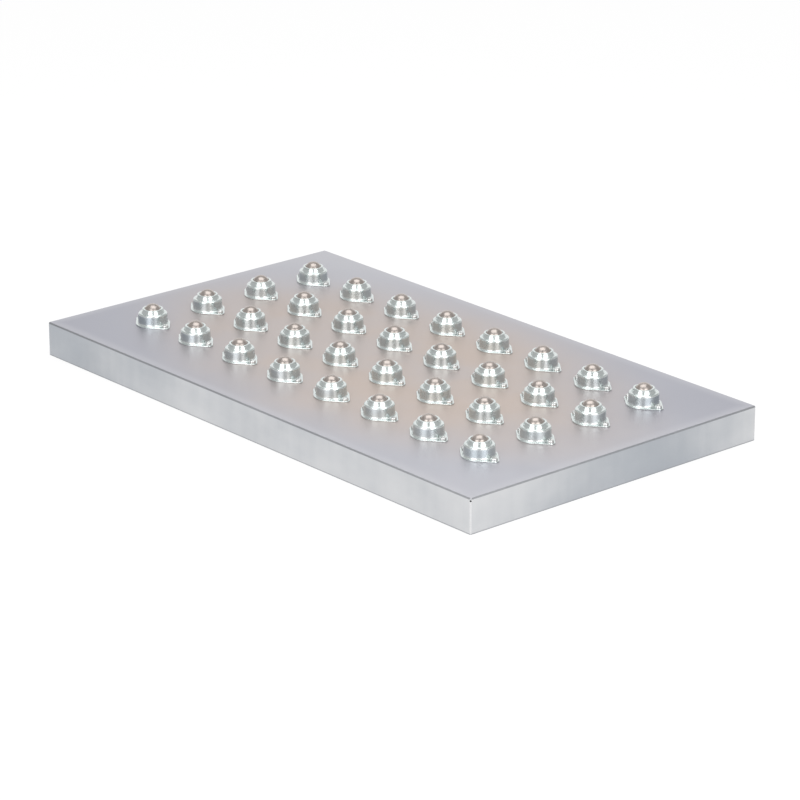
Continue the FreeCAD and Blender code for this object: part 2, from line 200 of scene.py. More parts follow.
class Finishes(bpy.types.PropertyGroup):
    """Colours and gloss of the platform's metals."""

    sheet_cool: tint("Cool sheet", "Bluish cast of the deck", (0.46, 0.465, 0.52))
    sheet_warm: tint("Warm sheet", "Warm cast in the middle of the deck", (0.64, 0.555, 0.505))
    # Painted reflection and sheen: the deck's paler corners and border, and also the pale end of its real
    # clouds.
    sheet_pale_and_sheen: tint("Pale sheet", "Pale corners and border of the deck", (0.64, 0.64, 0.675))
    # The sides run between these two colours in real clouds and streaks, and in painted light that is paler
    # towards the front and back and to the right.
    side_blue: tint("Blue clouds", "Bluish clouds on the sides", (0.46, 0.485, 0.52))
    side_pale_and_lit: tint("Pale clouds", "Pale clouds on the sides", (0.71, 0.715, 0.725))
    # Painted shade for the line along the bend and the bottom edge.
    side_edge_shade: tint("Edges", "Dull line along the bend and the bottom edge", (0.34, 0.35, 0.37))
    sheet_gloss: share("Sheet roughness", "Mean roughness of the sheet", 0.52)
    zinc: tint("Zinc", "Bright plating of the housings", (0.74, 0.79, 0.78))
    # Also the painted shade on the housings' walls, besides the real clouds.
    zinc_dull_and_wall_shade: tint(
        "Dull zinc", "Greenish shade of the plating on drawn walls and in clouds", (0.63, 0.69, 0.695))
    zinc_gloss: share("Zinc roughness", "Mean roughness of the plating", 0.19)
    ball: tint("Load ball", "Warm polished bearing steel", (0.47, 0.42, 0.39))
    ball_gloss: share("Load ball roughness", "Mean roughness of the load balls", 0.26)
    bearing: tint("Bearing ball", "Polished steel of the small balls", (0.45, 0.45, 0.46))
    cup: tint("Cup", "Hardened steel of the cups", (0.22, 0.22, 0.23))
    fastener: tint("Fastener", "Plating of the screws", (0.74, 0.75, 0.74))
    fastener_gloss: share("Fastener roughness", "Mean roughness of the fasteners", 0.24)
    weld: tint("Weld", "Freshly ground weld line", (0.80, 0.80, 0.81))


class StageSettings(bpy.types.PropertyGroup):
    """Floor, light and camera."""

    floor_size: length("Floor size", "Side of the square floor", 24.0)
    floor_white: share("Floor whiteness", "Part of the floor's white that doesn't take shadow", 0.86)
    sky_fill: glow("Sky fill", "Light from all around on matt surfaces", 0.85)
    horizon_glow: glow("Horizon glow", "White of the backdrop near the floor, as metal shows it", 1.0)
    side_glow: glow("Side glow", "Grey of the room beside and before the platform, as metal shows it", 0.52)
    front_glow: glow(
        "Front glow", "White of the room's lower part before the platform, as metal shows it", 1.15)
    front_low: degrees("Front fade start", "Height at which the white front starts to fade", 10.0)
    front_high: degrees("Front fade end", "Height at which the white front has faded", 18.0)
    ceiling_glow: glow("Ceiling glow", "Grey of the dim ceiling, as metal shows it", 0.56)
    ceiling_low: degrees("Ceiling start", "Height at which the dim ceiling starts", 36.0)
    ceiling_high: degrees("Ceiling end", "Height from which it is all ceiling", 56.0)
    top_power: power("Top lamp", "Soft lamp above", 20.5)
    top_size: lamp_size("Top lamp size", "Width and depth of the top lamp", (2.4, 2.0))
    top_height: length("Top lamp height", "Height of the top lamp", 2.4)
    top_back: length("Top lamp place", "How far the top lamp hangs behind the middle", 0.12)
    front_power: power("Front lamps", "Two soft lamps in front", 20.5)
    front_size: lamp_size("Front lamp size", "Width and height of a front lamp", (1.5, 1.9))
    front_height: length("Front lamp height", "Height of the front lamps", 1.15)
    front_reach: length("Front lamp distance", "Level distance of the front lamps", 2.3)
    front_turn: degrees("Front lamp turn", "Turn of a front lamp from the camera's side", 33.0)
    target: FloatVectorProperty(
        name="Target", description="Point that the camera looks at",
        default=(0.1230, -0.0898, DECK_TOP - 0.4 * MM), size=3, subtype="TRANSLATION")
    distance: length("Camera distance", "From the target to the camera", 4.902)
    azimuth: degrees("Azimuth", "Camera's turn from the front", 48.98)
    elevation: degrees("Elevation", "Camera's height angle", 20.15)
    roll: degrees("Roll", "Camera's lean", 0.0755)
    lens: FloatProperty(name="Lens", description="Focal length in millimetres", default=162.43, unit="CAMERA")


class PlatformSettings(bpy.types.PropertyGroup):
    """Everything about the platform that a user would change."""

    housing: PointerProperty(name="Housing", description="Sizes of a housing", type=HousingSizes)
    balls: PointerProperty(name="Balls", description="Sizes of the balls", type=BallSizes)
    fasteners: PointerProperty(name="Fasteners", description="Sizes of the fasteners", type=FastenerSizes)
    tray: PointerProperty(name="Tray", description="Sizes of the tray's corners", type=TraySizes)
    finishes: PointerProperty(name="Finishes", description="Colours and gloss", type=Finishes)
    stage: PointerProperty(name="Stage", description="Floor, light and camera", type=StageSettings)


class Shade:
    """An output socket in a node tree. Sums on it add Math nodes, and any other node comes from add()."""

    def __init__(self, tree, socket=None):
        self.tree = tree
        self.socket = socket

    def add(self, kind, settings=None, inputs=None, output=0):
        """Adds a node, sets it up, feeds its sockets with values or links and gives one of its outputs."""
        node = self.tree.nodes.new(kind)
        for name, value in (settings or {}).items():
            setattr(node, name, value)
        for key, value in (inputs or {}).items():
            target = node.inputs[key] if isinstance(key, int) else find_socket(node.inputs, key)
            if isinstance(value, Shade):
                self.tree.links.new(value.socket, target)
            else:
                target.default_value = value
        if not node.outputs:
            return None
        found = node.outputs[output] if isinstance(output, int) else find_socket(node.outputs, output)
        return Shade(self.tree, found)

    def maths(self, operation, first, second=0.0):
        """One Math node."""
        return self.add("ShaderNodeMath", {"operation": operation}, {0: first, 1: second}, "Value")

    def __add__(self, other):
        return self.maths("ADD", self, other)

    def __radd__(self, other):
        return self.maths("ADD", other, self)

    def __sub__(self, other):
        return self.maths("SUBTRACT", self, other)

    def __rsub__(self, other):
        return self.maths("SUBTRACT", other, self)

    def __mul__(self, other):
        return self.maths("MULTIPLY", self, other)

    def __rmul__(self, other):
        return self.maths("MULTIPLY", other, self)

    def __truediv__(self, other):
        return self.maths("DIVIDE", self, other)

    def __pow__(self, other):
        return self.maths("POWER", self, other)

    def clear(self, low, high):
        """Runs smoothly from none at low to all at high."""
        return self.add(
            "ShaderNodeMapRange", {"interpolation_type": "SMOOTHSTEP", "clamp": True},
            {"Value": self, "From Min": low, "From Max": high}, "Result")

    def blend(self, first, second):
        """Mixes two colours, with this value as the second one's share."""
        return self.add(
            "ShaderNodeMix", {"data_type": "RGBA"},
            {"Factor_Float": self, "A_Color": full_colour(first), "B_Color": full_colour(second)},
            "Result_Color")


def find_socket(sockets, key):
    """The socket with that identifier, or else with that name."""
    for socket in sockets:
        if socket.identifier == key:
            return socket
    return sockets[key]


def full_colour(colour):
    """A colour with its alpha, or a link as it is."""
    return colour if isinstance(colour, Shade) else (*colour, 1.0)


def scaled(colour, part):
    """A colour made darker or paler, up to white."""
    return [min(1.0, part * value) for value in colour]


def new_material(name):
    """An empty node material and a Shade to start its sums from."""
    material = bpy.data.materials.new(name)
    material.use_nodes = True
    material.node_tree.nodes.clear()
    return material, Shade(material.node_tree)


def object_place(start):
    """Object coordinates, which are the platform's own metres on every piece."""
    return start.add("ShaderNodeTexCoord", output="Object")


def stretched(start, place, scale, shift=(0.0, 0.0, 0.0)):
    """Coordinates scaled along each axis, then shifted."""
    return start.add("ShaderNodeMapping", inputs={"Vector": place, "Scale": scale, "Location": shift})


def noise(start, place, scale=1.0, detail=3.0):
    """Cloudy value from none to all."""
    return start.add(
        "ShaderNodeTexNoise", inputs={"Vector": place, "Scale": scale, "Detail": detail, "Roughness": 0.5})


def axis_values(start, place):
    """The three coordinates as values."""
    return [start.add("ShaderNodeSeparateXYZ", inputs={"Vector": place}, output=axis) for axis in "XYZ"]


def finish_metal(material, start, colour, roughness, bump=None, depth=0.0, strength=1.0):
    """Closes a metal: a metallic surface with its colour, gloss and, where given, a bump of that depth."""
    inputs = {"Base Color": colour, "Roughness": roughness, "Metallic": 1.0}
    if bump is not None:
        inputs["Normal"] = start.add(
            "ShaderNodeBump", inputs={"Height": bump, "Distance": depth, "Strength": strength})
    surface = start.add("ShaderNodeBsdfPrincipled", inputs=inputs)
    start.add("ShaderNodeOutputMaterial", inputs={"Surface": surface})
    return material


def deck_colour(start, looks, x, y, clouds):
    """Colour of the deck: cool sheet that pales in its clouds and, as painted reflection, towards two
    opposite corners, more so at the back, with a warm middle and a paler border that is a painted sheen by
    the bends."""
    cloud_share, corner_reflection_share, back_reflection_share, edge_sheen_share = 0.2, 0.45, 0.4, 0.45
    warm_least, warm_clouds = 0.7, 0.3
    warm_full, warm_gone = 0.1, 1.3
    sheen_start, sheen_full = -22.0 * MM, -1.0 * MM
    along, across = x / HALF_LENGTH, y / HALF_WIDTH
    # Painted reflection: the deck is paler towards two opposite corners, more so at the back.
    corners = 0.5 - 0.5 * along * across
    back = 0.5 + 0.25 * (across - along)
    pale = cloud_share * clouds + corners * (corner_reflection_share + back_reflection_share * back)
    middle = 1.0 - (along ** 2.0 + across ** 2.0).clear(warm_full, warm_gone)
    warm = middle * (warm_least + warm_clouds * clouds)
    # Painted sheen: a paler border over the last 22 mm to the deck's edges.
    past_end = start.maths("ABSOLUTE", x) - HALF_LENGTH
    past_side = start.maths("ABSOLUTE", y) - HALF_WIDTH
    border = start.maths("MAXIMUM", past_end, past_side).clear(sheen_start, sheen_full)
    colour = pale.blend(looks.sheet_cool, looks.sheet_pale_and_sheen)
    colour = warm.blend(colour, looks.sheet_warm)
    return (edge_sheen_share * border).blend(colour, looks.sheet_pale_and_sheen)


def side_colour(start, looks, place, x, y, z):
    """Colour of the sides: bluish to pale sheet in clouds and faint upright streaks, with painted light paler
    towards the front and back and to the right, and a painted shade line along the bend and the bottom edge."""
    level, smear_share, streak_share, end_share = 0.72, 0.44, 0.12, 0.34
    all_blue, all_pale = 0.24, 0.84
    dullest_place, ends_start, ends_full = 0.18, -0.08, 0.75
    middle_share, right_share, left_fade, fade_ends = 0.2, 0.2, 0.6, (-1.0, -0.3)
    smear_stretch, smear_shift, smear_scale = (1.0, 1.0, 1.8), (0.0, 0.0, 4.4), 9.0
    streak_stretch, streak_scale = (1.0, 1.0, 0.12), 55.0
    edge_shade_share, edge_low, edge_high = 0.75, 0.6 * MM, 2.2 * MM
    bend_low, bend_high = DECK_TOP - 2.7 * MM, DECK_TOP - 2.2 * MM
    along, across = x / HALF_LENGTH, y / HALF_WIDTH
    smears = noise(start, stretched(start, place, smear_stretch, smear_shift), smear_scale, detail=4.0)
    streaks = noise(start, stretched(start, place, streak_stretch), streak_scale)
    # Painted light: the sides are paler towards the front and back, more so to the right.
    lengthwise_light = middle_share + right_share * along + left_fade * along.clear(*fade_ends)
    ends = ((across - dullest_place) ** 2.0).clear(ends_start, ends_full) * lengthwise_light
    pale = level - smear_share * smears + streak_share * (streaks - 0.5) + end_share * (ends - 0.5)
    colour = pale.clear(all_blue, all_pale).blend(looks.side_blue, looks.side_pale_and_lit)
    # Painted shade: a darker line along the bottom edge and along the bend.
    bottom = 1.0 - z.clear(edge_low, edge_high)
    bend = z.clear(bend_low, bend_high)
    return (edge_shade_share * start.maths("MAXIMUM", bottom, bend)).blend(colour, looks.side_edge_shade)


def sheet_finish(looks):
    """Satin zinc-coated sheet with fine rolling lines along it. Deck and sides have their own colours."""
    cloud_gloss, line_gloss = 0.10, 0.08
    line_height, grain_height = 0.65, 0.35
    deck_low, deck_high = DECK_TOP - 0.5 * MM, DECK_TOP - 0.1 * MM
    line_stretch, grain_scale = (3.0, 900.0, 900.0), 1400.0
    material, start = new_material("zinc_coated_sheet")
    place = object_place(start)
    x, y, z = axis_values(start, place)
    clouds = noise(start, place, scale=7.0, detail=4.0).clear(low=0.38, high=0.68)
    sides = side_colour(start, looks, place, x, y, z)
    colour = z.clear(deck_low, deck_high).blend(sides, deck_colour(start, looks, x, y, clouds))
    lines = noise(start, stretched(start, place, line_stretch), detail=2.0)
    grain = noise(start, place, grain_scale, detail=2.0)
    roughness = looks.sheet_gloss + cloud_gloss * (clouds - 0.5) + line_gloss * (lines - 0.5)
    height = line_height * lines + grain_height * grain
    return finish_metal(material, start, colour, roughness, bump=height, depth=0.01 * MM, strength=0.35)


def zinc_finish(name, bright, dull, gloss, wall=None):
    """Bright zinc plating with faint clouds and a fine grain. Where the heights of a wall are given, painted
    shade makes the plating duller between them."""
    cloud_share, cloud_gloss, grain_gloss, wall_gloss = 0.3, 0.08, 0.05, 0.02
    fade_up, fade_down = 1.5 * MM, 2.0 * MM
    material, start = new_material(name)
    place = object_place(start)
    clouds = noise(start, place, scale=120.0).clear(low=0.35, high=0.75)
    grain = noise(start, place, scale=2600.0, detail=2.0)
    dulled_and_shaded = cloud_share * clouds
    roughness = gloss + cloud_gloss * clouds + grain_gloss * (grain - 0.5)
    if wall:
        low, high = wall
        z = axis_values(start, place)[2]
        # Painted shade: the plating is duller over the wall between the given heights.
        drawn = z.clear(low, low + fade_up) * (1.0 - z.clear(high - fade_down, high))
        dulled_and_shaded = dulled_and_shaded + drawn * (1.0 - dulled_and_shaded)
        roughness = roughness + wall_gloss * drawn
    colour = dulled_and_shaded.blend(bright, dull)
    return finish_metal(material, start, colour, roughness, bump=grain, depth=0.006 * MM, strength=0.3)


def ball_finish(name, colour, gloss):
    """Polished bearing steel with a faint mottle and hairline scuffs."""
    mottle_share, scuff_share, mottle_gloss, scuff_gloss = 0.3, 0.35, 0.05, 0.12
    scuff_stretch = (220.0, 2400.0, 700.0)
    material, start = new_material(name)
    place = object_place(start)
    mottle = noise(start, place, scale=180.0, detail=4.0).clear(low=0.3, high=0.7)
    scuffs = noise(start, stretched(start, place, scuff_stretch)).clear(low=0.60, high=0.70)
    shade = (mottle_share * mottle + scuff_share * scuffs).blend(colour, scaled(colour, part=1.35))
    roughness = gloss + mottle_gloss * mottle + scuff_gloss * scuffs
    return finish_metal(material, start, shade, roughness, bump=scuffs, depth=0.004 * MM, strength=0.3)


def hardened_finish(looks):
    """Dark hardened steel of the cups."""
    clean_gloss, stain_gloss = 0.3, 0.2
    material, start = new_material("hardened_cup_steel")
    stain = noise(start, object_place(start), scale=260.0, detail=4.0)
    colour = stain.blend(looks.cup, scaled(looks.cup, part=1.6))
    return finish_metal(material, start, colour, clean_gloss + stain_gloss * stain)


def weld_finish(looks):
    """Ground weld: bright metal with cross scratches."""
    ground_gloss, scratch_gloss = 0.26, 0.15
    scratch_stretch = (60.0, 60.0, 2500.0)
    material, start = new_material("ground_weld")
    scratches = noise(start, stretched(start, object_place(start), scratch_stretch))
    colour = scratches.clear(low=0.35, high=0.8).blend(looks.weld, scaled(looks.weld, part=0.8))
    roughness = ground_gloss + scratch_gloss * scratches
    return finish_metal(material, start, colour, roughness, bump=scratches, depth=0.01 * MM, strength=0.4)


def floor_finish(stage):
    """Pale floor: part of its white is steady for the camera and reflections, and the rest takes the shadow.
    Under the tray it is all left in shadow."""
    darkest, palest, white = (0.93, 0.93, 0.93), (0.95, 0.95, 0.95), (1.0, 1.0, 1.0, 1.0)
    soft_edge = 2.0 * MM
    material, start = new_material("pale_floor")
    place = object_place(start)
    colour = noise(start, place, scale=3.0, detail=2.0).blend(darkest, palest)
    matt = start.add("ShaderNodeBsdfDiffuse", inputs={"Color": colour})
    steady = start.add("ShaderNodeEmission", inputs={"Color": white, "Strength": 1.0})
    x, y, _ = axis_values(start, place)
    past_end = start.maths("ABSOLUTE", x).clear(HALF_LENGTH - soft_edge, HALF_LENGTH)
    past_side = start.maths("ABSOLUTE", y).clear(HALF_WIDTH - soft_edge, HALF_WIDTH)
    open_floor = start.maths("MAXIMUM", past_end, past_side)
    steady_share = seen_rays(start) * open_floor * stage.floor_white
    surface = start.add("ShaderNodeMixShader", inputs={0: steady_share, 1: matt, 2: steady})
    start.add("ShaderNodeOutputMaterial", inputs={"Surface": surface})
    return material


def seen_rays(start):
    """All for rays from the camera, from gloss or through glass, and none for the rest."""
    rays = [start.add("ShaderNodeLightPath", output=name)
            for name in ("Is Camera Ray", "Is Glossy Ray", "Is Transmission Ray")]
    return start.maths("MINIMUM", rays[0] + rays[1] + rays[2], 1.0)


def ring_faces(rows, columns, closed=False):
    """Quads of a grid whose columns close into a ring, and whose rows do too if it is closed."""
    row = np.arange(rows if closed else rows - 1)[:, None]
    column = np.arange(columns)[None, :]
    above = (row + 1) % rows
    beside = (column + 1) % columns
    corners = [row * columns + column, row * columns + beside,
               above * columns + beside, above * columns + column]
    return np.stack(np.broadcast_arrays(*corners), -1).reshape(-1, 4)


def cap_faces(rows, columns):
    """Two fans that close a grid of rings with one point under the first ring and one over the last."""
    column = np.arange(columns)
    beside = (column + 1) % columns
    low, high = rows * columns, rows * columns + 1
    top = (rows - 1) * columns
    under = np.stack([np.full(columns, low), beside, column], -1)
    over = np.stack([np.full(columns, high), top + column, top + beside], -1)
    return np.concatenate([under, over])


def ring_points(radius, height, angle):
    """Points at a radius and height over each angle: rows follow the profile, columns go round."""
    radius, height, angle = np.broadcast_arrays(radius, height, angle)
    return np.stack([radius * np.cos(angle), radius * np.sin(angle), height], -1).reshape(-1, 3)


def arc(middle_radius, middle_height, radius, start, end, steps=9):
    """Radius and height along an arc of a profile, from one angle to another in degrees."""
    angle = np.radians(np.linspace(start, end, steps))
    return np.stack([middle_radius + radius * np.cos(angle), middle_height + radius * np.sin(angle)], -1)


def repeat(points, faces, places, turns=None):
    """The same shape set at several places, each turned about its own upright axis if turns are given."""
    turns = np.zeros(len(places)) if turns is None else turns
    cos, sin = np.cos(turns)[:, None], np.sin(turns)[:, None]
    x, y, z = points.T
    heights = np.broadcast_to(z, (len(places), len(z)))
    turned = np.stack([x * cos - y * sin, x * sin + y * cos, heights], -1)
    shift = len(points) * np.arange(len(places))[:, None, None]
    copies = [(group[None] + shift).reshape(-1, group.shape[1]) for group in faces]
    return (turned + places[:, None]).reshape(-1, 3), copies


def add_piece(name, points, faces, material, body=PLATFORM, slot=None, replaced=(), sharp=None):
    """Makes a mesh object of points and groups of faces and sets what it rides on; what it stands for, its
    slot, is not used. Folds of more than the sharp angle, in degrees, stay crisp."""
    mesh = bpy.data.meshes.new(name)
    corners = np.concatenate([group.ravel() for group in faces]).astype(np.int32)
    sizes = np.concatenate([np.full(len(group), group.shape[1]) for group in faces])
    starts = np.concatenate([[0], np.cumsum(sizes)[:-1]]).astype(np.int32)
    mesh.vertices.add(len(points))
    mesh.vertices.foreach_set("co", points.astype(np.float32).ravel())
    mesh.loops.add(len(corners))
    mesh.loops.foreach_set("vertex_index", corners)
    mesh.polygons.add(len(sizes))
    mesh.polygons.foreach_set("loop_start", starts)
    mesh.polygons.foreach_set("use_smooth", np.ones(len(sizes), bool))
    mesh.update(calc_edges=True)
    if mesh.validate():
        raise RuntimeError(f"the faces of {name} are not sound")
    if sharp is not None:
        mesh.set_sharp_from_angle(angle=math.radians(sharp))
    mesh.materials.append(material)
    piece = bpy.data.objects.new(name, mesh)
    bpy.context.scene.collection.objects.link(piece)
    if body:
        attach(piece, body)
    if replaced:
        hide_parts(*replaced)
    return piece


def dress_node(name, material):
    """Gives a CAD node its finish."""
    materials = frame["nodes"][name].data.materials
    materials.clear()
    materials.append(material)


def unit_places(row):
    """Where the units of a row stand on the deck."""
    places = np.array([BALL_PLACES[name] for name in BALL_NAMES if name[-2] == row])
    places[:, 2] = DECK_TOP
    return places


def screw_places(row, housing):
    """Where the screws of a row stand, one in each flange ear."""
    ear = np.array([housing.ear_reach - housing.ear_radius, 0.0, 0.0])
    places = unit_places(row)
    return np.concatenate([places - ear, places + ear])


def flange_reach(angle, housing):
    """Distance from the unit's middle to the flange's rim: a circle, a round ear on either side, and straight
    tangents between them."""
    middle, ear = housing.flange_radius, housing.ear_radius
    offset = housing.ear_reach - ear
    folded = np.arctan2(np.abs(np.sin(angle)), np.abs(np.cos(angle)))
    lean = math.acos((middle - ear) / offset)
    ear_end = math.atan2(ear * math.sin(lean), offset + ear * math.cos(lean))
    on_ear = offset * np.cos(folded) + np.sqrt(np.maximum(ear ** 2 - (offset * np.sin(folded)) ** 2, 0.0))
    on_tangent = middle / np.cos(folded - lean)
    return np.where(folded < ear_end, on_ear, np.where(folded < lean, on_tangent, middle))


def housing_surface(housing):
    """One pressed housing as a closed profile carried round the unit's axis. The profile goes round the
    flange's rim, in to the foot, up the wall, over the shoulder, up the collar, over the rim to the lip, back
    down the inside and out again under the flange. At the flange the radius follows its outline. Columns
    crowd towards the ears."""
    crowding = 0.35
    collar_end, rim_start, lip_end = 205.0, -40.0, 250.0
    even = np.linspace(0.0, TURN, housing.columns, endpoint=False)
    angle = even - crowding * np.sin(2 * even)
    reach = flange_reach(angle, housing)
    thick, edge = housing.flange_thickness, housing.flange_edge
    foot, wall, shell = housing.foot_radius, housing.wall_radius, housing.wall_thickness
    round_out, shoulder = housing.shoulder_radius, housing.shoulder_height
    wall_top, inside = wall - housing.wall_draft, wall - shell
    collar_foot, collar = housing.collar_foot, housing.collar_fillet
    rim, rim_top = housing.rim_round, housing.rim_height
    rim_middle = housing.rim_radius + housing.rim_bead - rim
    lip_round, inner = housing.lip_round, housing.inner_round
    lip_middle, lip_foot = housing.lip_radius + lip_round, rim_top - housing.lip_thickness - lip_round
    rim_lean = arc(0.0, 0.0, edge, -90.0, 90.0)
    rim_radius = reach[None] - edge + rim_lean[:, :1]
    rim_height = np.where(rim_lean[:, 1] < 0, edge + rim_lean[:, 1], thick - edge + rim_lean[:, 1])
    upper = np.concatenate([
        arc(wall + foot, thick + foot, foot, 270.0, 180.0),
        [[wall - 0.5 * housing.wall_draft, 0.5 * shoulder]],
        arc(wall_top - round_out, shoulder - round_out, round_out, 0.0, 90.0),
        arc(collar_foot + collar, shoulder + collar, collar, 270.0, collar_end, steps=6),
        arc(rim_middle, rim_top - rim, rim, rim_start, 90.0, steps=10),
        arc(lip_middle, rim_top - lip_round, lip_round, 90.0, 180.0, steps=4),
        arc(lip_middle, lip_foot, lip_round, 180.0, lip_end, steps=3),
        [[housing.rim_radius - shell, rim_top - shell - rim]],
        [[collar_foot - shell, shoulder - 0.5 * shell]],
        arc(inside - inner, shoulder - shell - inner, inner, 90.0, 0.0, steps=4),
        [[inside, 0.0]],
    ])
    radius = np.concatenate([rim_radius, np.broadcast_to(upper[:, :1], (len(upper), len(angle)))])
    height = np.concatenate([rim_height, upper[:, 1]])[:, None]
    points = ring_points(radius, height, angle)
    return points, [ring_faces(len(height), len(angle), closed=True)]


def ball_surface(radius, columns, rows):
    """A ball as rings of latitude about its cross axis, closed by a point at either end."""
    tilt = np.radians(np.linspace(-90.0, 90.0, rows + 2)[1:-1])[:, None]
    angle = np.linspace(0.0, TURN, columns, endpoint=False)
    rings = ring_points(radius * np.cos(tilt), radius * np.sin(tilt), angle)
    points = np.concatenate([rings, [[0.0, 0.0, -radius], [0.0, 0.0, radius]]])
    crosswise = np.stack([points[:, 1], points[:, 2], points[:, 0]], -1)
    return crosswise, [ring_faces(rows, columns), cap_faces(rows, columns)]


def bearing_places(balls):
    """Middles of the small balls from the load ball's middle: one below it, and rings spread up the cup, each
    with as many balls as fit."""
    bed = balls.radius + balls.bearing_gap + balls.bearing_radius
    ring_half = balls.bearing_radius + balls.ring_spacing / 2
    ball_half = balls.bearing_radius + balls.bearing_spacing / 2
    spread = 2 * math.asin(ring_half / bed)
    places = [np.array([[0.0, 0.0, -bed]])]
    for ring in range(1, balls.bearing_rings + 1):
        lean = ring * spread
        fit = int(math.pi / math.asin(ball_half / (bed * math.sin(lean))))
        angle = np.linspace(0.0, TURN, fit, endpoint=False)
        places.append(ring_points(bed * math.sin(lean), -bed * math.cos(lean), angle))
    return np.concatenate(places)


def screw_surface(sizes):
    """A pan-head tapping screw as rings about its axis: a tapered point, a core whose radius swells along a
    helix to make the thread, and a rounded head with a cross recess pressed into its crown. The recess is
    shallower towards the arms' tips."""
    core_rows, crown_rows, rim_rows, rim_end = 30, 16, 7, 80.0
    tail_gap, crown_end = 0.05 * MM, 0.12 * MM
    thread_sharpness, run_out, tip_rise = 4, 0.5, 0.4
    angle = np.linspace(0.0, TURN, sizes.columns, endpoint=False)[None]
    head, top, rounding, edge = sizes.head_radius, sizes.head_top, sizes.head_round, sizes.head_edge
    seat = top - sizes.head_height
    flat = head - rounding
    core = np.linspace(sizes.tail_end + tail_gap, sizes.thread_top, core_rows)
    crown = np.linspace(flat, crown_end, crown_rows)
    profile = np.concatenate([
        np.stack([np.full(core_rows, sizes.core_radius), core], -1),
        [[sizes.core_radius, seat], [head - edge, seat], [head, seat + edge]],
        arc(flat, top - sizes.head_crown - rounding, rounding, 0.0, rim_end, rim_rows),
        np.stack([crown, top - sizes.head_crown * (crown / flat) ** 2], -1),
    ])
    radius, height = profile[:, :1], profile[:, 1:]
    taper = np.clip((height - sizes.tail_end) / sizes.point_length, 0.0, 1.0)
    wave = 0.5 + 0.5 * np.cos(angle - TURN * height / sizes.thread_pitch)
    fade = np.clip((sizes.thread_top - height) / (run_out * sizes.thread_pitch), 0.0, 1.0)
    radius = radius * np.sqrt(taper) + sizes.thread_rise * wave ** thread_sharpness * fade * taper
    x, y = radius * np.cos(angle), radius * np.sin(angle)
    half_width, half_length = sizes.recess_width / 2, sizes.recess_length / 2

    def within(distance, limit):
        """All inside the limit, none outside it, with a sloping step."""
        return np.clip((limit - np.abs(distance)) / sizes.recess_slope + 0.5, 0.0, 1.0)

    arms = np.maximum(
        within(y, half_width) * within(x, half_length), within(x, half_width) * within(y, half_length))
    pressed = arms * (height > seat + rounding)
    deep = sizes.recess_depth * (1.0 - tip_rise * (np.hypot(x, y) / half_length) ** 2)
    rings = ring_points(radius, height - deep * pressed, angle)
    ends = [[0.0, 0.0, sizes.tail_end], [0.0, 0.0, top - sizes.recess_depth]]
    rows, columns = len(profile), sizes.columns
    return np.concatenate([rings, ends]), [ring_faces(rows, columns), cap_faces(rows, columns)]


def seam_surface(tray):
    """A ground weld down one corner: a flat lens-shaped section on the corner's curve, carried up with a
    slight waver in its width, its two ends drawn to a point."""
    columns, rows = 24, 60
    broad_waver, broad_waves = 0.12, 23.0
    fine_waver, fine_waves, fine_start = 0.08, 57.0, 1.0
    end_share, end_least = 0.02, 0.15
    turn = np.linspace(0.0, TURN, columns, endpoint=False)[None]
    height = np.linspace(tray.seam_foot, tray.seam_top, rows)[:, None]
    along = (height - tray.seam_foot) / (tray.seam_top - tray.seam_foot)
    waver = 1.0 + broad_waver * np.sin(broad_waves * along * math.pi)
    waver = waver + fine_waver * np.sin(fine_waves * along * math.pi + fine_start)
    narrow = np.clip(np.minimum(along, 1.0 - along) / end_share, end_least, 1.0)
    reach = 0.5 * tray.seam_width * waver * narrow / tray.bend_radius
    radius = tray.bend_radius + tray.seam_rise * narrow * np.sin(turn) - tray.seam_sink
    angle = -math.pi / 4 + reach * np.cos(turn)
    points = ring_points(radius, height, angle)
    ends = points.reshape(rows, columns, 3)[[0, -1]].mean(axis=1)
    return np.concatenate([points, ends]), [ring_faces(rows, columns), cap_faces(rows, columns)]


class PLATFORM_OT_dress_tray(bpy.types.Operator):
    """Finish the folded tray and lay the ground weld lines on its corners"""

    bl_idname = "platform.dress_tray"
    bl_label = "Dress Tray"

    def execute(self, context):
        settings = context.scene.platform
        dress_node("deck_tray", sheet_finish(settings.finishes))
        points, faces = seam_surface(settings.tray)
        x, y = HALF_LENGTH - settings.tray.bend_radius, HALF_WIDTH - settings.tray.bend_radius
        places = np.array([[x, -y, 0.0], [x, y, 0.0], [-x, y, 0.0], [-x, -y, 0.0]])
        turns = np.arange(len(places)) * TURN / 4
        points, faces = repeat(points, faces, places, turns)
        add_piece("corner_seams", points, faces, weld_finish(settings.finishes), slot="deck_sheet")
        return {"FINISHED"}


class PLATFORM_OT_press_housings(bpy.types.Operator):
    """Press the housings of every row"""

    bl_idname = "platform.press_housings"
    bl_label = "Press Housings"

    def execute(self, context):
        settings = context.scene.platform
        looks = settings.finishes
        sizes = settings.housing
        foot = DECK_TOP + sizes.flange_thickness + sizes.foot_radius
        wall_top = DECK_TOP + sizes.shoulder_height - sizes.shoulder_radius
        # Heights of the wall that gets painted shade.
        wall = (foot, wall_top)
        zinc = zinc_finish("bright_zinc", looks.zinc, looks.zinc_dull_and_wall_shade, looks.zinc_gloss, wall)
        points, faces = housing_surface(sizes)
        for row in ROWS:
            add_piece(f"housing_shells_{row}", *repeat(points, faces, unit_places(row)), zinc,
                      slot="zinc_housing", replaced=[f"housings_row_{row}"], sharp=35.0)
        return {"FINISHED"}


